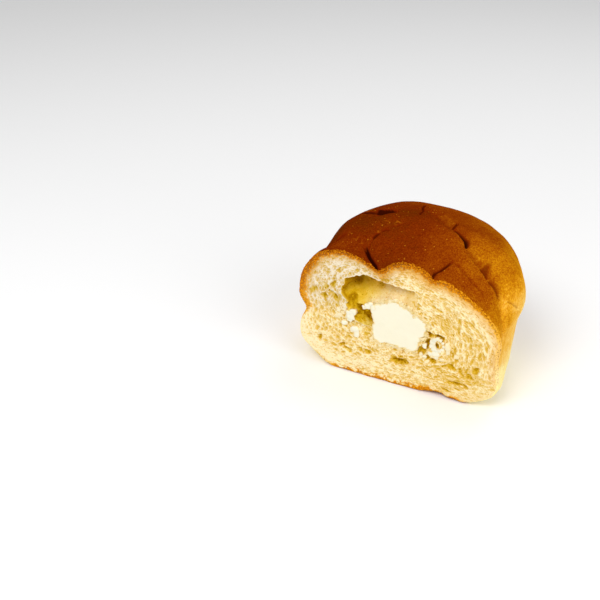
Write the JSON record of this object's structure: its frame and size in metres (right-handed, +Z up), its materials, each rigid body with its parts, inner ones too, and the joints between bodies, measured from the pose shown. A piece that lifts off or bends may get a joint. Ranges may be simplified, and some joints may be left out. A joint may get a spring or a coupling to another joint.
{
  "type": "cream bun half",
  "caption": "Half of a soft baked bun, cut across: folded brown crust, open crumb, an air pocket and a soft cream cheese filling at the cut.",
  "frame": {"origin": "middle of the bounding box's underside, on the surface that the bun stands on", "axes": "+X along the width of the cut, to the right when looking at it; +Y from the cut back to the rounded tip; +Z up"},
  "size_m": [0.0976, 0.0716, 0.07],
  "materials": {
    "bread": "satin brown crust, matt pale yellow crumb",
    "cream": "smooth matt cream cheese"
  },
  "bodies": {
    "root": {"bun": "bread", "cream": "cream"}
  },
  "joints": []
}
